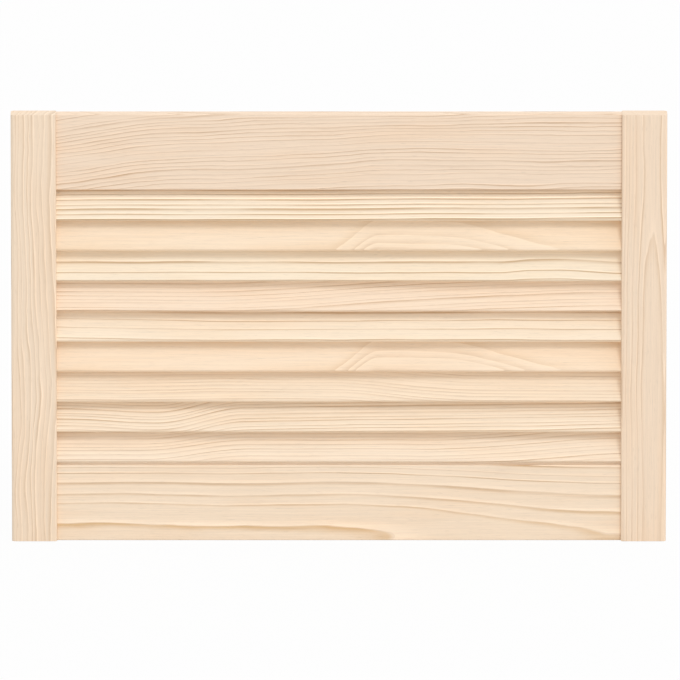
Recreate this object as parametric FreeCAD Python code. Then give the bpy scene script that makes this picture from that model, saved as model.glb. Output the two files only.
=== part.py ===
import FreeCAD, Part
import math
import os

# Louvred cabinet door leaf in solid pine: two stiles, two rails and a rack of fixed slats.
# Millimetres. X runs across the width, Y from the front face to the back, Z up.
# The origin is the middle of the left stile's outer edge, the edge that the leaf hangs from.

# The whole leaf
door_width = 594.0
door_height = 395.0

# Stiles: upright boards that run the full height
stile_width = 41.0
stile_thickness = 21.0
stile_outer_round = 3.0
stile_inner_round = 2.0

# Rails: thinner cross boards set back from the faces of the stiles
top_rail_height = 70.0
bottom_rail_height = 70.0
rail_thickness = 13.0
rail_front_setback = 4.5
rail_edge_round = 1.0

# Stub tenons that join the rails to the stiles
tenon_thickness = 6.0
tenon_edge_round = 2.0
tenon_length = 14.0
tenon_shoulder = 10.0
tenon_clearance = 0.1
mortise_end_gap = 0.5

# Slats: thin boards that lean back from their lower front edge
slat_count = 9
slat_width = 28.5
slat_thickness = 5.5
slat_edge_round = 1.2
slat_tilt = 25.0
slat_entry = 7.5
slat_clearance = 0.15
slot_end_gap = 0.5
lowest_slat_gap = 2.0
highest_slat_gap = 1.6

# Places that follow from the sizes above
front_face = -stile_thickness / 2
leaf_bottom = -door_height / 2
leaf_top = door_height / 2
left_inner_face = stile_width
right_inner_face = door_width - stile_width
clear_width = right_inner_face - left_inner_face
opening_bottom = leaf_bottom + bottom_rail_height
opening_top = leaf_top - top_rail_height
tilt_cos = math.cos(math.radians(slat_tilt))
tilt_sin = math.sin(math.radians(slat_tilt))
rounding_loss = 2 * slat_edge_round * (tilt_cos + tilt_sin - 1)
slat_rise = slat_width * tilt_cos + slat_thickness * tilt_sin - rounding_loss
lowest_slat_middle = opening_bottom + lowest_slat_gap + slat_rise / 2
highest_slat_middle = opening_top - highest_slat_gap - slat_rise / 2
slat_pitch = (highest_slat_middle - lowest_slat_middle) / (slat_count - 1)
rail_middle_y = front_face + rail_front_setback + rail_thickness / 2

# A rounded edge takes at most this share of a board's thickness
ROUND_SHARE = 0.45

X_AXIS = FreeCAD.Vector(1, 0, 0)
Z_AXIS = FreeCAD.Vector(0, 0, 1)
CENTRE = FreeCAD.Vector(0, 0, 0)


def edges_along(solid, direction, x_place=None):
    """Straight edges that run in one direction, at one place across the width if it is given."""
    chosen = []
    for edge in solid.Edges:
        run = edge.Vertexes[1].Point - edge.Vertexes[0].Point
        if run.cross(direction).Length > Part.Precision.confusion():
            continue
        if x_place is None or math.isclose(edge.Vertexes[0].X, x_place):
            chosen.append(edge)
    return chosen


def eased_bar(width, thickness, length, edge_round):
    """Upright bar that runs along X from the origin, with its four long edges rounded."""
    corner = FreeCAD.Vector(0, -thickness / 2, -width / 2)
    bar = Part.makeBox(length, thickness, width, corner)
    radius = min(edge_round, ROUND_SHARE * thickness)
    return bar.makeFillet(radius, edges_along(bar, X_AXIS))


def slat_middles():
    """Heights of the slats' centre lines, from the top one down."""
    return [highest_slat_middle - index * slat_pitch for index in range(slat_count)]


def slat_at(height, x_start, length, growth=0.0):
    """A slat, or with growth the slot for one, leaning back at its height."""
    width = slat_width + 2 * growth
    thickness = slat_thickness + 2 * growth
    bar = eased_bar(width, thickness, length, slat_edge_round + growth)
    bar.rotate(CENTRE, X_AXIS, -slat_tilt)
    bar.translate(FreeCAD.Vector(x_start, 0, height))
    return bar


def tenon_at(rail_bottom, rail_height, x_start, length, growth=0.0):
    """A stub tenon of a rail, or with growth its mortise."""
    height = rail_height - 2 * tenon_shoulder + 2 * growth
    thickness = tenon_thickness + 2 * growth
    tenon = eased_bar(height, thickness, length, tenon_edge_round + growth)
    tenon.translate(FreeCAD.Vector(x_start, rail_middle_y, rail_bottom + rail_height / 2))
    return tenon


def make_stile(outer_face, inner_face):
    """Upright board with mortises for the rails and slanted slots for the slats."""
    corner = FreeCAD.Vector(min(outer_face, inner_face), front_face, leaf_bottom)
    stile = Part.makeBox(stile_width, stile_thickness, door_height, corner)
    stile = stile.makeFillet(stile_outer_round, edges_along(stile, Z_AXIS, outer_face))
    stile = stile.makeFillet(stile_inner_round, edges_along(stile, Z_AXIS, inner_face))

    slot_depth = slat_entry + slot_end_gap
    slot_start = min(inner_face, inner_face + math.copysign(slot_depth, outer_face - inner_face))
    cuts = [slat_at(height, slot_start, slot_depth, slat_clearance) for height in slat_middles()]

    mortise_depth = tenon_length + mortise_end_gap
    mortise_start = min(inner_face, inner_face + math.copysign(mortise_depth, outer_face - inner_face))
    for rail_bottom, rail_height in ((leaf_bottom, bottom_rail_height), (opening_top, top_rail_height)):
        cuts.append(tenon_at(rail_bottom, rail_height, mortise_start, mortise_depth, tenon_clearance))
    return stile.cut(cuts)


def make_rail(rail_bottom, rail_height):
    """Cross board with eased long edges and a stub tenon at each end."""
    board = eased_bar(rail_height, rail_thickness, clear_width, rail_edge_round)
    board.translate(FreeCAD.Vector(left_inner_face, rail_middle_y, rail_bottom + rail_height / 2))
    tenon_span = clear_width + 2 * tenon_length
    tenons = tenon_at(rail_bottom, rail_height, left_inner_face - tenon_length, tenon_span)
    return board.fuse(tenons).removeSplitter()


def make_slat(height):
    """Slat that reaches into a slot of each stile."""
    return slat_at(height, left_inner_face - slat_entry, clear_width + 2 * slat_entry)


pieces = {
    "left_stile": make_stile(0.0, left_inner_face),
    "right_stile": make_stile(door_width, right_inner_face),
    "top_rail": make_rail(opening_top, top_rail_height),
    "bottom_rail": make_rail(leaf_bottom, bottom_rail_height),
}
for number, height in enumerate(slat_middles(), start=1):
    pieces[f"slat_{number}"] = make_slat(height)

os.makedirs("parts", exist_ok=True)
for name, shape in pieces.items():
    shape.exportStep(f"parts/{name}.step")
    print(name, "solids", len(shape.Solids), "valid", shape.isValid(), "volume", round(shape.Volume))
print("slat pitch", round(slat_pitch, 3), "slat rise", round(slat_rise, 3))
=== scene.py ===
import math

import bmesh
import bpy
import numpy as np
from mathutils import Color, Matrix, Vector


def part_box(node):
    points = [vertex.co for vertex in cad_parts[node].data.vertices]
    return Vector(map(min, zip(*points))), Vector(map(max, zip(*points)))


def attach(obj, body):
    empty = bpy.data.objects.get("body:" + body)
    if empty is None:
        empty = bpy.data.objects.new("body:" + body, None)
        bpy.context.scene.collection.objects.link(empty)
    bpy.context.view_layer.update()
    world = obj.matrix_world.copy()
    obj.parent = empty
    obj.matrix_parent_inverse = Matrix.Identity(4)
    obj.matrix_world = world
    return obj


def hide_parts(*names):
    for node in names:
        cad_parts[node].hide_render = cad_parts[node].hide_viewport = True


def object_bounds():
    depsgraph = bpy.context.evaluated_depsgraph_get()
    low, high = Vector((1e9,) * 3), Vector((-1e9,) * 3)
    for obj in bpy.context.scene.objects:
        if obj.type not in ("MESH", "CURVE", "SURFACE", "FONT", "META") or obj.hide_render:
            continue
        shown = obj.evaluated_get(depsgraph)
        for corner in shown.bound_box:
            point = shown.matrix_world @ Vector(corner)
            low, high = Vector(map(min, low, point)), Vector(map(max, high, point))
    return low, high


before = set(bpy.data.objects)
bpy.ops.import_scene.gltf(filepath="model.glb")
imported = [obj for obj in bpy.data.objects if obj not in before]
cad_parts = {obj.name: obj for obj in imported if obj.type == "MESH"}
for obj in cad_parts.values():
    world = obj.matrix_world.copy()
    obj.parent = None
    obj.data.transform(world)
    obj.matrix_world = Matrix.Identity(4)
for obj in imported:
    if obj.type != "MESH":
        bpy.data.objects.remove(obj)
cad_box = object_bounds()

# Slats. Nine thin pine boards, planed with softly rounded edges, lean back at one angle and one pitch.
# Their ends are glued into slanted slots in the stiles, so one slat is laid out and repeated down the leaf.
# The pine is bare: pale early wood, a tan line of late wood at the end of each year, and fine long fibres.
SLAT_COUNT = 9
SLAT_WIDTH = 0.0285
SLAT_THICKNESS = 0.0055
SLAT_EDGE_ROUND = 0.0012
SLAT_EDGE_STEPS = 5
SLAT_TILT = math.radians(25.0)
SLAT_SETTLE = math.radians(0.2)
SETTLE_SEED = 7
SHARP_CORNER = math.radians(40.0)
NO_STEP = (0.0, 1.0, 0.0)


def cut(seed, heart, ring, dark, late=0.5, even=0.3, lift=0.08, tan=0.4, shift=0.0, sway=0.001,
        lean=(0.0, 0.0), bend=(0.0, 0.0), turns=(), sink=NO_STEP):
    """How a board was cut from its tree, in metres, as the vectors that the timber reads.

    The heart of the trunk lies across and behind the board's middle, and leans and bends along it. The
    rings are one year wide, moved on by a share of a year and swaying a little, and their lines have a
    darkness, a share of the year, an evenness and a tan. Just after a strong line the wood is lighter by
    the lift: partly the pale early wood of the new year, and partly a painted highlight along the line's
    edge. At a turn the grain steps aside over a length, and at a sink the heart goes deeper: each of these
    is a place along the board, a length and a height. The seed tells one tree from another.
    """
    first, second = (tuple(turns) + (NO_STEP, NO_STEP))[:2]
    return {"heart": (*heart, seed), "lean": (*lean, shift), "bend": (*bend, sway),
            "rings": (ring, dark, even), "season": (late, lift, tan),
            "first_turn": first, "second_turn": second, "sink": sink}


FLAMED = ((0.012, 0.050, 0.030), (0.165, 0.130, -0.030))
SLAT_CUTS = [
    cut(1, (-0.060, 0.014), 0.0044, 1.26, late=0.54, even=0.90, lift=0.24, shift=0.20, sway=0.0006,
        lean=(0.004, 0.0)),
    cut(2, (0.0, 0.040), 0.0055, 0.36, late=0.75, even=0.90, lift=0.10, tan=1.0, shift=0.10, sway=0.0020,
        turns=FLAMED),
    cut(3, (-0.060, 0.030), 0.0085, 1.75, late=0.24, even=0.70,
        turns=((0.160, 0.030, 0.002), (0.225, 0.060, -0.003))),
    cut(41, (-0.070, 0.020), 0.0036, 1.15, late=0.45, lift=0.12, turns=((0.060, 0.400, 0.018),)),
    cut(5, (-0.070, 0.030), 0.0080, 1.40, late=0.20, even=0.60, turns=((-0.150, 0.120, -0.002),)),
    cut(2, (0.0, 0.040), 0.0050, 0.38, late=0.75, even=0.90, lift=0.11, tan=1.0, shift=0.50, sway=0.0020,
        turns=FLAMED),
    cut(7, (-0.060, 0.020), 0.0030, 0.80, turns=((0.060, 0.140, -0.010),)),
    cut(8, (-0.060, 0.020), 0.0030, 1.45, late=0.48, even=0.40, lift=0.18, lean=(0.012, 0.0),
        turns=((-0.210, 0.090, -0.004), (-0.125, 0.080, 0.013))),
    cut(9, (-0.060, 0.020), 0.0033, 1.15, lift=0.14,
        turns=((-0.130, 0.100, 0.009), (0.170, 0.200, 0.010))),
]
SLAT_TONES = [(250, 233, 209), (252, 230, 203), (250, 233, 208), (251, 228, 203), (251, 232, 207),
              (252, 229, 202), (250, 229, 203), (249, 229, 204), (250, 230, 206)]

top_slat_low, top_slat_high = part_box("slat_1")
next_slat_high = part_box("slat_2")[1]
slat_length = top_slat_high.x - top_slat_low.x
slat_pitch = top_slat_high.z - next_slat_high.z
top_slat_middle = (top_slat_low + top_slat_high) / 2


def add_node(tree, kind, settings=None, **inputs):
    """A node with its settings made and its inputs set to values or linked to sockets."""
    node = tree.nodes.new(kind)
    for name, value in (settings or {}).items():
        setattr(node, name, value)
    for name, value in inputs.items():
        socket = next(s for s in node.inputs if s.identifier.replace(" ", "_") == name)
        if isinstance(value, bpy.types.NodeSocket):
            tree.links.new(value, socket)
        else:
            socket.default_value = value
    return node


def reckon(tree, operation, *terms):
    """The result of one sum on sockets or numbers."""
    node = tree.nodes.new("ShaderNodeMath")
    node.operation = operation
    for socket, term in zip(node.inputs, terms):
        if isinstance(term, bpy.types.NodeSocket):
            tree.links.new(term, socket)
        else:
            socket.default_value = term
    return node.outputs[0]


# Mottling of the pine: metres along and across the grain, and what the noise between two levels does
SWING = dict(run=0.160, breadth=0.070, detail=1.0, noise=(0.0, 1.0), effect=(-2.0, 2.0), curve="LINEAR")
RIPPLE = dict(run=0.045, breadth=0.010, detail=2.0, noise=(0.0, 1.0), effect=(-0.5, 0.5), curve="LINEAR")
FADING = dict(run=0.085, breadth=0.009, detail=1.5, noise=(0.30, 0.70), effect=(0.50, 1.15))
BLUSH = dict(run=0.120, breadth=0.016, detail=2.0, noise=(0.42, 0.72), effect=(0.0, 0.5))
FIBRES = dict(run=0.045, breadth=0.00045, detail=2.0, rough=0.6, noise=(0.25, 0.75), effect=(0.966, 1.028))
STREAKS = dict(run=0.070, breadth=0.0016, detail=1.0, noise=(0.25, 0.75), effect=(0.972, 1.024))
RESIN_CANALS = dict(run=0.009, breadth=0.00032, detail=0.0, noise=(0.68, 0.80), effect=(1.0, 0.88))

# Years of the pine: how unlike each other they are, when in the year the wood is late, and how long after a
# line the pale early wood and painted highlight last
SEED_STRIDE = 3.71
SEED_LEAP = 31.7
YEAR_WANDER = 0.55
FAINT_YEARS = 1.8
YEAR_END = 0.95
RIPENING = 1.5
EARLY_WOOD_AND_GLINT_SPAN = (0.0, 0.25)

# Colours and surface of the pine: late wood is tan where a board is sawn flat and greyer at the quarter
SAWN_FLAT_TO_QUARTER = (0.15, 0.60)
TAN_LEFT = (1.0, 0.25)
LATE_WOOD_GREY = (0.66, 0.550, 0.440, 1.0)
LATE_WOOD_TAN = (0.80, 0.660, 0.460, 1.0)
BLUSH_PINK = (1.0, 0.945, 0.890, 1.0)
LINE_STRENGTH = (0.0, 0.6)
LINE_ROUGHNESS = (0.64, 0.50)
LINE_RELIEF = 0.6
RELIEF_STRENGTH = 0.35
RELIEF_HEIGHT = 0.0002
PINE_SPECULAR = 0.3


def planed_pine():
    """Bare pine that follows each board's own cut from the tree, read from the board's attributes."""
    timber = bpy.data.materials.new("planed_pine")
    timber.use_nodes = True
    tree = timber.node_tree
    tree.nodes.clear()

    def read(name):
        return add_node(tree, "ShaderNodeAttribute", {"attribute_name": name}).outputs["Vector"]

    def split(vector):
        return add_node(tree, "ShaderNodeSeparateXYZ", Vector=vector).outputs

    def remap(value, source, target, curve="SMOOTHSTEP"):
        node = add_node(tree, "ShaderNodeMapRange", {"interpolation_type": curve}, Value=value)
        for name, number in zip(("From Min", "From Max", "To Min", "To Max"), (*source, *target)):
            node.inputs[name].default_value = number
        return node.outputs[0]

    along, across, depth = split(read("lay"))
    heart_across, heart_depth, seed = split(read("heart"))
    lean_across, lean_depth, shift = split(read("lean"))
    bend_across, bend_depth, sway = split(read("bend"))
    ring, dark, even = split(read("rings"))
    late, lift, tan_share = split(read("season"))
    start = reckon(tree, "MULTIPLY", seed, SEED_STRIDE)

    def mottle(run, breadth, detail, noise, effect, rough=0.5, curve="SMOOTHSTEP"):
        """Soft noise drawn out along the grain, turned into its effect."""
        place = add_node(
            tree, "ShaderNodeCombineXYZ",
            X=reckon(tree, "MULTIPLY_ADD", along, 1 / run, start),
            Y=reckon(tree, "MULTIPLY_ADD", across, 1 / breadth, start),
            Z=reckon(tree, "MULTIPLY", depth, 1 / breadth))
        soft = add_node(tree, "ShaderNodeTexNoise", Vector=place.outputs[0], Scale=1.0, Detail=detail,
                        Roughness=rough)
        return remap(soft.outputs[0], noise, effect, curve)

    def drifted(place, lean, bend):
        """A place of the heart that leans and bends along the board."""
        line = reckon(tree, "MULTIPLY_ADD", along, lean, place)
        curve = reckon(tree, "MULTIPLY", along, along)
        return reckon(tree, "MULTIPLY_ADD", curve, bend, line)

    def stepped(name):
        """How far the grain has stepped aside at a turn."""
        place, length, height = split(read(name))
        begun = reckon(tree, "DIVIDE", reckon(tree, "SUBTRACT", along, place), length)
        return reckon(tree, "MULTIPLY", remap(begun, (-0.5, 0.5), (0.0, 1.0)), height)

    heart_line = reckon(tree, "ADD", drifted(heart_across, lean_across, bend_across),
                        reckon(tree, "ADD", stepped("first_turn"), stepped("second_turn")))
    from_heart_across = reckon(tree, "SUBTRACT", across, heart_line)
    heart_deep = reckon(tree, "ADD", drifted(heart_depth, lean_depth, bend_depth), stepped("sink"))
    from_heart_depth = reckon(tree, "SUBTRACT", depth, heart_deep)
    radius = reckon(tree, "SQRT", reckon(
        tree, "MULTIPLY_ADD", from_heart_across, from_heart_across,
        reckon(tree, "MULTIPLY", from_heart_depth, from_heart_depth)))
    unrest = reckon(tree, "ADD", mottle(**SWING), mottle(**RIPPLE))
    grown = reckon(tree, "MULTIPLY_ADD", unrest, sway, radius)
    years = reckon(tree, "ADD", reckon(tree, "DIVIDE", grown, ring), shift)
    uneven = add_node(tree, "ShaderNodeTexNoise", {"noise_dimensions": "1D"},
                      W=reckon(tree, "MULTIPLY_ADD", years, YEAR_WANDER, start), Scale=1.0, Detail=1.0)
    years = reckon(tree, "ADD", uneven.outputs[0], years)
    year = reckon(tree, "FLOOR", years)
    season = reckon(tree, "FRACT", years)
    fading = mottle(**FADING)

    def weight(which):
        """How dark one year's line is: some years show strongly and most are faint."""
        chance = add_node(tree, "ShaderNodeTexWhiteNoise", {"noise_dimensions": "1D"},
                          W=reckon(tree, "MULTIPLY_ADD", seed, SEED_LEAP, which)).outputs[0]
        faint = reckon(tree, "POWER", chance, FAINT_YEARS)
        mixed = reckon(tree, "MULTIPLY_ADD", reckon(tree, "SUBTRACT", 1.0, faint), even, faint)
        return reckon(tree, "MULTIPLY", reckon(tree, "MULTIPLY", mixed, fading), dark)

    ripening = add_node(tree, "ShaderNodeMapRange", {"interpolation_type": "SMOOTHSTEP"}, Value=season)
    tree.links.new(reckon(tree, "SUBTRACT", YEAR_END, late), ripening.inputs["From Min"])
    ripening.inputs["From Max"].default_value = YEAR_END
    darkening = reckon(tree, "POWER", ripening.outputs[0], RIPENING)
    late_wood = reckon(tree, "MULTIPLY", darkening, remap(season, (YEAR_END, 1.0), (1.0, 0.0)))
    line = reckon(tree, "MULTIPLY", late_wood, weight(year))
    # Pale early wood with a painted highlight: the wood just after each strong line of the year before is
    # made lighter.
    early_wood_and_glint = reckon(tree, "MULTIPLY", remap(season, EARLY_WOOD_AND_GLINT_SPAN, (1.0, 0.0)),
                   weight(reckon(tree, "SUBTRACT", year, 1.0)))

    tone = read("tone")
    flatness = reckon(tree, "DIVIDE", reckon(tree, "ABSOLUTE", from_heart_across), radius)
    tanned = reckon(tree, "MULTIPLY", tan_share, remap(flatness, SAWN_FLAT_TO_QUARTER, TAN_LEFT))
    hue = add_node(tree, "ShaderNodeMix", {"data_type": "RGBA"}, Factor_Float=tanned,
                   A_Color=LATE_WOOD_GREY, B_Color=LATE_WOOD_TAN).outputs[2]
    line_colour = add_node(tree, "ShaderNodeVectorMath", {"operation": "MULTIPLY"}, Vector=tone,
                           Vector_001=hue).outputs[0]
    grain = add_node(tree, "ShaderNodeMix", {"data_type": "RGBA"}, Factor_Float=line, A_Color=tone,
                     B_Color=line_colour).outputs[2]
    blushed = add_node(tree, "ShaderNodeMix", {"data_type": "RGBA", "blend_type": "MULTIPLY"},
                       Factor_Float=mottle(**BLUSH), A_Color=grain, B_Color=BLUSH_PINK).outputs[2]
    fibre = mottle(**FIBRES)
    # Lightens the colour by that pale early wood and painted highlight.
    paler = reckon(tree, "MULTIPLY_ADD", early_wood_and_glint, lift, 1.0)
    texture = reckon(tree, "MULTIPLY", reckon(tree, "MULTIPLY", fibre, mottle(**STREAKS)),
                     reckon(tree, "MULTIPLY", mottle(**RESIN_CANALS), paler))
    colour = add_node(tree, "ShaderNodeVectorMath", {"operation": "SCALE"}, Vector=blushed,
                      Scale=texture).outputs[0]

    relief = reckon(tree, "MULTIPLY_ADD", line, LINE_RELIEF, fibre)
    raised = add_node(tree, "ShaderNodeBump", Strength=RELIEF_STRENGTH, Distance=RELIEF_HEIGHT,
                      Height=relief).outputs[0]
    surface = tree.nodes.new("ShaderNodeBsdfPrincipled")
    surface.inputs["Specular IOR Level"].default_value = PINE_SPECULAR
    tree.links.new(colour, surface.inputs["Base Color"])
    tree.links.new(remap(line, LINE_STRENGTH, LINE_ROUGHNESS), surface.inputs["Roughness"])
    tree.links.new(raised, surface.inputs["Normal"])
    out = tree.nodes.new("ShaderNodeOutputMaterial")
    tree.links.new(surface.outputs[0], out.inputs["Surface"])
    return timber


def slat_rack():
    """Tree that sweeps one slat along its length, tilts it and repeats it down the leaf at the pitch."""
    tree = bpy.data.node_groups.new("slat_rack", "GeometryNodeTree")
    sockets = {}
    for name, kind in (
        ("Count", "Int"), ("Pitch", "Float"), ("Top Middle", "Vector"), ("Length", "Float"),
        ("Width", "Float"), ("Thickness", "Float"), ("Edge Round", "Float"), ("Edge Steps", "Int"),
        ("Tilt", "Float"), ("Settle", "Float"), ("Seed", "Int"), ("Timber", "Material"),
    ):
        socket = tree.interface.new_socket(name=name, in_out="INPUT", socket_type="NodeSocket" + kind)
        sockets[name] = socket.identifier
    tree.interface.new_socket(name="Slats", in_out="OUTPUT", socket_type="NodeSocketGeometry")
    given = tree.nodes.new("NodeGroupInput").outputs

    section = add_node(tree, "GeometryNodeCurvePrimitiveQuadrilateral", Width=given["Thickness"],
                       Height=given["Width"])
    eased = add_node(tree, "GeometryNodeFilletCurve", {"mode": "POLY"}, Curve=section.outputs[0],
                     Count=given["Edge Steps"], Radius=given["Edge Round"], Limit_Radius=True)
    start = add_node(tree, "ShaderNodeCombineXYZ", X=reckon(tree, "MULTIPLY", given["Length"], -0.5))
    end = add_node(tree, "ShaderNodeCombineXYZ", X=reckon(tree, "MULTIPLY", given["Length"], 0.5))
    path = add_node(tree, "GeometryNodeCurvePrimitiveLine", Start=start.outputs[0], End=end.outputs[0])
    upright = add_node(tree, "GeometryNodeSetCurveNormal", {"mode": "FREE"}, Curve=path.outputs[0],
                       Normal=(0.0, 1.0, 0.0))
    swept = add_node(tree, "GeometryNodeCurveToMesh", Curve=upright.outputs[0],
                     Profile_Curve=eased.outputs[0], Fill_Caps=True)
    place = add_node(tree, "ShaderNodeSeparateXYZ",
                     Vector=add_node(tree, "GeometryNodeInputPosition").outputs[0]).outputs
    lay = add_node(tree, "ShaderNodeCombineXYZ", X=place["X"], Y=place["Z"], Z=place["Y"])
    laid = add_node(tree, "GeometryNodeStoreNamedAttribute", {"data_type": "FLOAT_VECTOR"},
                    Geometry=swept.outputs[0], Name="lay", Value=lay.outputs[0])

    step = add_node(tree, "ShaderNodeCombineXYZ", Z=reckon(tree, "MULTIPLY", given["Pitch"], -1.0))
    rows = add_node(tree, "GeometryNodeMeshLine", Count=given["Count"], Start_Location=given["Top Middle"],
                    Offset=step.outputs[0])
    settle = add_node(tree, "FunctionNodeRandomValue", {"data_type": "FLOAT"},
                      Min_001=reckon(tree, "MULTIPLY", given["Settle"], -1.0),
                      Max_001=given["Settle"], Seed=given["Seed"])
    turn = add_node(tree, "FunctionNodeAxisAngleToRotation", Axis=(1.0, 0.0, 0.0),
                    Angle=reckon(tree, "SUBTRACT", settle.outputs[1], given["Tilt"]))
    racked = add_node(tree, "GeometryNodeInstanceOnPoints", Points=rows.outputs[0],
                      Instance=laid.outputs[0], Rotation=turn.outputs[0])
    numbered = add_node(tree, "GeometryNodeStoreNamedAttribute", {"data_type": "INT", "domain": "INSTANCE"},
                        Geometry=racked.outputs[0], Name="slat_number",
                        Value=add_node(tree, "GeometryNodeInputIndex").outputs[0])
    realized = add_node(tree, "GeometryNodeRealizeInstances", Geometry=numbered.outputs[0])
    finished = add_node(tree, "GeometryNodeSetMaterial", Geometry=realized.outputs[0],
                        Material=given["Timber"])
    out = tree.nodes.new("NodeGroupOutput")
    tree.links.new(finished.outputs[0], out.inputs[0])
    return tree, sockets


def rack_object(name, length, growth=0.0):
    """The rack of slats, or with growth the cutter for their slots, as an object that carries the tree."""
    holder = bpy.data.objects.new(name, bpy.data.meshes.new(name))
    bpy.context.scene.collection.objects.link(holder)
    layout = holder.modifiers.new("rack", "NODES")
    layout.node_group = rack_tree
    for socket, value in (
        ("Count", SLAT_COUNT), ("Pitch", slat_pitch), ("Top Middle", top_slat_middle), ("Length", length),
        ("Width", SLAT_WIDTH + 2 * growth), ("Thickness", SLAT_THICKNESS + 2 * growth),
        ("Edge Round", SLAT_EDGE_ROUND + growth), ("Edge Steps", SLAT_EDGE_STEPS), ("Tilt", SLAT_TILT),
        ("Settle", SLAT_SETTLE), ("Seed", SETTLE_SEED), ("Timber", pine),
    ):
        layout[rack_sockets[socket]] = value
    return holder


def settle_shape(piece):
    """Turns a piece and its modifiers into a plain mesh of one timber."""
    bpy.context.view_layer.update()
    shaped = piece.evaluated_get(bpy.context.evaluated_depsgraph_get())
    mesh = bpy.data.meshes.new_from_object(shaped)
    piece.modifiers.clear()
    piece.data = mesh
    mesh.materials.clear()
    mesh.materials.append(pine)
    mesh.polygons.foreach_set("material_index", np.zeros(len(mesh.polygons), np.int32))


def smooth_arrises(piece):
    """Shades the rounded arrises as curves and keeps the faces flat."""
    piece.data.shade_smooth()
    piece.data.set_sharp_from_angle(angle=SHARP_CORNER)
    even = piece.modifiers.new("even", "WEIGHTED_NORMAL")
    even.keep_sharp = True
    settle_shape(piece)


def write_vectors(mesh, name, values):
    """Keeps one vector for each point of the mesh."""
    layer = mesh.attributes.get(name) or mesh.attributes.new(name, "FLOAT_VECTOR", "POINT")
    layer.data.foreach_set("vector", np.asarray(values, np.float32).ravel())


def linear(shade):
    """A screen colour, 0 to 255, as the colour that light multiplies."""
    return Color([part / 255 for part in shade]).from_srgb_to_scene_linear()[:]


def cut_from_tree(mesh, board_of_point, cuts, tones):
    """Writes each board's cut from the tree on the points of that board."""
    for name in cuts[0]:
        rows = np.asarray([board[name] for board in cuts])
        write_vectors(mesh, name, rows[board_of_point])
    write_vectors(mesh, "tone", np.asarray([linear(tone) for tone in tones])[board_of_point])


pine = planed_pine()
rack_tree, rack_sockets = slat_rack()
slats = rack_object("louvre_slats", slat_length)
settle_shape(slats)
smooth_arrises(slats)
slat_of_point = np.empty(len(slats.data.vertices), np.int32)
slats.data.attributes["slat_number"].data.foreach_get("value", slat_of_point)
cut_from_tree(slats.data, slat_of_point, SLAT_CUTS, SLAT_TONES)
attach(slats, "root")
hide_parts(*[f"slat_{k + 1}" for k in range(SLAT_COUNT)])

# Stiles. Two upright pine boards the full height of the leaf, with their long arrises rounded by a cutter.
# Slanted slots are cut in their inner edges for the slats, a hair larger than the slats to take the glue.
STILE_OUTER_ROUND = 0.003
STILE_INNER_ROUND = 0.002
STILE_END_EASE = 0.0004
ARRIS_STEPS = 6
END_STEPS = 2
ROUND_PROFILE = 0.5
SLOT_CLEARANCE = 0.00015
SLOT_END_GAP = 0.0005
X_AXIS, Y_AXIS, Z_AXIS = range(3)
IN_LINE = 0.99
ON_THE_FACE = 1e-6
STILE_CUTS = {
    "left_stile": cut(32, (-0.080, 0.020), 0.0042, 0.60, late=0.56, even=0.35, lift=0.42, sway=0.0040,
                      bend=(-0.10, 0.0), turns=((0.150, 0.080, 0.005), (0.078, 0.080, -0.004))),
    "right_stile": cut(21, (0.0075, 0.0148), 0.0027, 0.60, late=0.34, even=0.55, lift=0.22, tan=0.45,
                       shift=0.68, sway=0.0009, lean=(0.0, 0.001), sink=(0.090, 0.140, 0.0020)),
}
STILE_TONES = {"left_stile": (246, 224, 199), "right_stile": (246, 223, 198)}


def along_axis(edge, axis):
    """True for an edge that runs along one axis."""
    run = edge.verts[0].co - edge.verts[1].co
    return abs(run[axis]) > IN_LINE * run.length


def planed_board(name, low, high, axis, arrises, end_ease):
    """Board between two corners, its long arrises rounded where told and its end arrises eased."""
    board = bmesh.new()
    bmesh.ops.create_cube(board, size=1.0)
    for point in board.verts:
        point.co = Vector([high[k] if point.co[k] > 0 else low[k] for k in range(3)])
    for radius, chosen in arrises:
        edges = [e for e in board.edges if along_axis(e, axis) and chosen(e.verts[0].co)]
        bmesh.ops.bevel(board, geom=edges, offset=radius, segments=ARRIS_STEPS, profile=ROUND_PROFILE,
                        affect="EDGES")
    ends = [f for f in board.faces if abs(f.normal[axis]) > IN_LINE]
    rims = [e for e in board.edges if any(f in ends for f in e.link_faces)]
    bmesh.ops.bevel(board, geom=rims, offset=end_ease, segments=END_STEPS, profile=ROUND_PROFILE,
                    affect="EDGES")
    bmesh.ops.recalc_face_normals(board, faces=board.faces)
    mesh = bpy.data.meshes.new(name)
    board.to_mesh(mesh)
    board.free()
    piece = bpy.data.objects.new(name, mesh)
    bpy.context.scene.collection.objects.link(piece)
    return piece


def corner_at(x, low, high):
    """Test for a point on one of the board's two corners at a place across the leaf."""
    def on_corner(point):
        beside = math.isclose(point.x, x, abs_tol=ON_THE_FACE)
        return beside and any(math.isclose(point.y, face.y, abs_tol=ON_THE_FACE) for face in (low, high))
    return on_corner


def lay_grain(piece, low, high, axes, how, tone):
    """Cuts one board from its tree, with the axes that run along, across and through the board."""
    mesh = piece.data
    places = np.empty(len(mesh.vertices) * 3, np.float32)
    mesh.vertices.foreach_get("co", places)
    from_middle = places.reshape(-1, 3) - np.array((low + high) / 2, np.float32)
    write_vectors(mesh, "lay", from_middle[:, axes])
    cut_from_tree(mesh, np.zeros(len(mesh.vertices), np.int32), [how], [tone])


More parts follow.
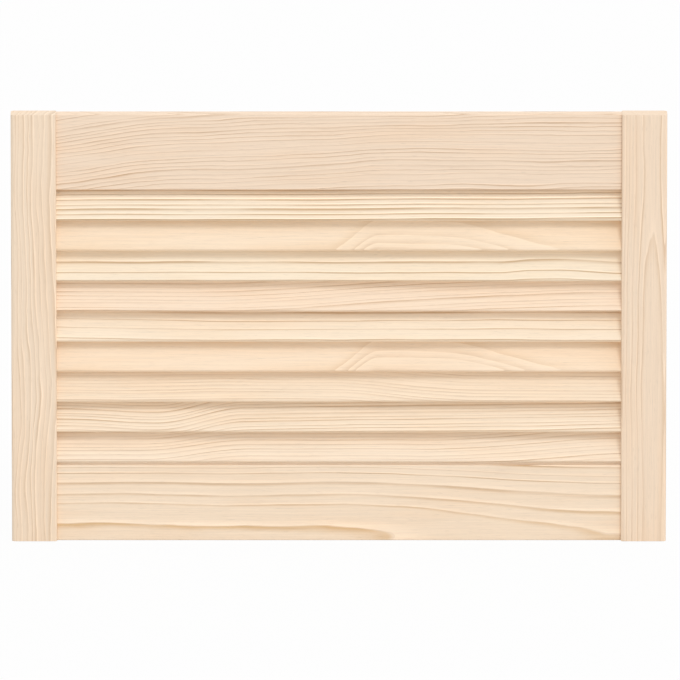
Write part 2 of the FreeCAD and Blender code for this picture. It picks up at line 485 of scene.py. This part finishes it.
cutter = rack_object("slot_cutter", slat_length + 2 * SLOT_END_GAP, SLOT_CLEARANCE)
for node in STILE_CUTS:
    low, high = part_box(node)
    outer_x, inner_x = (low.x, high.x) if node == "left_stile" else (high.x, low.x)
    stile = planed_board(f"{node}_board", low, high, Z_AXIS, (
        (STILE_OUTER_ROUND, corner_at(outer_x, low, high)),
        (STILE_INNER_ROUND, corner_at(inner_x, low, high)),
    ), STILE_END_EASE)
    slots = stile.modifiers.new("slots", "BOOLEAN")
    slots.operation = "DIFFERENCE"
    slots.solver = "EXACT"
    slots.object = cutter
    settle_shape(stile)
    smooth_arrises(stile)
    lay_grain(stile, low, high, [Z_AXIS, X_AXIS, Y_AXIS], STILE_CUTS[node], STILE_TONES[node])
    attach(stile, "root")
    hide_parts(node)
bpy.data.objects.remove(cutter)

# Rails. Two thinner pine boards close the leaf above and below the slats, set back from the stiles' faces.
# Their long arrises are barely rounded, and their ends butt against the stiles over hidden tenons.
RAIL_EDGE_ROUND = 0.001
RAIL_END_EASE = 0.0003
RAIL_CUTS = {
    "top_rail": cut(34, (-0.070, 0.030), 0.0031, 1.12, late=0.45, even=0.12, lift=0.16, sway=0.0026,
                    lean=(0.030, 0.0), bend=(-0.05, 0.0), turns=((-0.225, 0.090, 0.006),)),
    "bottom_rail": cut(33, (-0.034, 0.0621), 0.0051, 1.05, late=0.25, even=0.45, lift=0.18, tan=1.0,
                       shift=0.60, sway=0.0008, sink=(0.130, 0.300, 0.0074)),
}
RAIL_TONES = {"top_rail": (247, 224, 200), "bottom_rail": (249, 228, 203)}


def every_corner(point):
    """Test that takes all four long arrises of a board."""
    return True


stile_inner_faces = (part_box("left_stile")[1].x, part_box("right_stile")[0].x)
for node in RAIL_CUTS:
    low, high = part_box(node)
    low.x, high.x = stile_inner_faces
    rail = planed_board(f"{node}_board", low, high, X_AXIS, ((RAIL_EDGE_ROUND, every_corner),),
                        RAIL_END_EASE)
    smooth_arrises(rail)
    lay_grain(rail, low, high, [X_AXIS, Z_AXIS, Y_AXIS], RAIL_CUTS[node], RAIL_TONES[node])
    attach(rail, "root")
    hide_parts(node)

# Studio. The leaf stands on a white floor that runs out of sight behind it and keeps a faint shadow.
# One large soft lamp shines from the upper right in front. The white room gives the rest, most of it from
# above and from the right.
FLOOR_REACH = 30.0
FLOOR_WHITE = (0.76, 0.76, 0.76, 1.0)
FLOOR_GLOW_SHARE = 0.95
PLAIN_WHITE = (1.0, 1.0, 1.0, 1.0)
ROOM_LIGHT = 0.675
ROOM_RIGHT_SHARE = 0.30
ROOM_TOP_SHARE = 0.44
LAMP_STRENGTH = 0.765
LAMP_SPREAD = math.radians(17.0)
LAMP_FROM = Vector((0.36, -1.0, 1.1))


def seen_straight(tree):
    """One for a ray that shows the studio to the eye, in a gloss or through glass, and else nothing."""
    rays = tree.nodes.new("ShaderNodeLightPath").outputs
    return reckon(tree, "MAXIMUM", rays["Is Camera Ray"],
                  reckon(tree, "MAXIMUM", rays["Is Glossy Ray"], rays["Is Transmission Ray"]))


leaf_low, leaf_high = cad_box
ground = leaf_low.z
floor_mesh = bpy.data.meshes.new("studio_floor")
floor_mesh.from_pydata(
    [(x, y, ground) for x, y in ((-FLOOR_REACH, -FLOOR_REACH), (FLOOR_REACH, -FLOOR_REACH),
                                 (FLOOR_REACH, FLOOR_REACH), (-FLOOR_REACH, FLOOR_REACH))],
    [], [(0, 1, 2, 3)])
floor = bpy.data.objects.new("studio_floor", floor_mesh)
bpy.context.scene.collection.objects.link(floor)
white = bpy.data.materials.new("studio_white")
white.use_nodes = True
tree = white.node_tree
tree.nodes.clear()
matt = add_node(tree, "ShaderNodeBsdfDiffuse", Color=FLOOR_WHITE)
glow = add_node(tree, "ShaderNodeEmission", Color=PLAIN_WHITE, Strength=1.0)
mixed = add_node(tree, "ShaderNodeMixShader",
                 Fac=reckon(tree, "MULTIPLY", seen_straight(tree), FLOOR_GLOW_SHARE),
                 Shader=matt.outputs[0], Shader_001=glow.outputs[0])
out = tree.nodes.new("ShaderNodeOutputMaterial")
tree.links.new(mixed.outputs[0], out.inputs["Surface"])
floor_mesh.materials.append(white)

room = bpy.data.worlds.new("white_room")
room.use_nodes = True
tree = room.node_tree
tree.nodes.clear()
toward = tree.nodes.new("ShaderNodeTexCoord").outputs["Generated"]
way = add_node(tree, "ShaderNodeSeparateXYZ", Vector=toward).outputs
right = reckon(tree, "MULTIPLY_ADD", way["X"], ROOM_LIGHT * ROOM_RIGHT_SHARE, ROOM_LIGHT)
above = reckon(tree, "MULTIPLY_ADD", way["Z"], ROOM_LIGHT * ROOM_TOP_SHARE, right)
lit = add_node(tree, "ShaderNodeBackground", Color=PLAIN_WHITE, Strength=above)
shown = add_node(tree, "ShaderNodeBackground", Color=PLAIN_WHITE, Strength=1.0)
mixed = add_node(tree, "ShaderNodeMixShader", Fac=seen_straight(tree), Shader=lit.outputs[0],
                 Shader_001=shown.outputs[0])
out = tree.nodes.new("ShaderNodeOutputWorld")
tree.links.new(mixed.outputs[0], out.inputs["Surface"])
bpy.context.scene.world = room

lamp_light = bpy.data.lights.new("soft_lamp", "SUN")
lamp_light.energy = LAMP_STRENGTH
lamp_light.angle = LAMP_SPREAD
lamp = bpy.data.objects.new("soft_lamp", lamp_light)
lamp.rotation_euler = LAMP_FROM.to_track_quat("Z", "Y").to_euler()
bpy.context.scene.collection.objects.link(lamp)

# Camera. A long lens looks straight at the leaf from a little above, so that the tops of the boards show.
# It stands far enough back to keep the stiles upright and the rails level in the picture.
CAMERA_LENS = 1000.0
CAMERA_SENSOR = 36.0
CAMERA_REACH = 200.0
CAMERA_RISE = math.radians(12.0)
VIEW_WIDTH = 0.6168
AIM_RIGHT = 0.00095
AIM_DOWN = 0.0127

middle = (leaf_low + leaf_high) / 2
aim = middle + Vector((AIM_RIGHT, 0.0, -AIM_DOWN))
distance = VIEW_WIDTH * CAMERA_LENS / CAMERA_SENSOR
eye = bpy.data.cameras.new("camera")
eye.lens = CAMERA_LENS
eye.sensor_width = CAMERA_SENSOR
eye.clip_end = CAMERA_REACH
camera = bpy.data.objects.new("camera", eye)
camera.location = aim + distance * Vector((0.0, -math.cos(CAMERA_RISE), math.sin(CAMERA_RISE)))
camera.rotation_euler = (math.pi / 2 - CAMERA_RISE, 0.0, 0.0)
bpy.context.scene.collection.objects.link(camera)
bpy.context.scene.camera = camera
bpy.context.scene.view_settings.view_transform = "Standard"
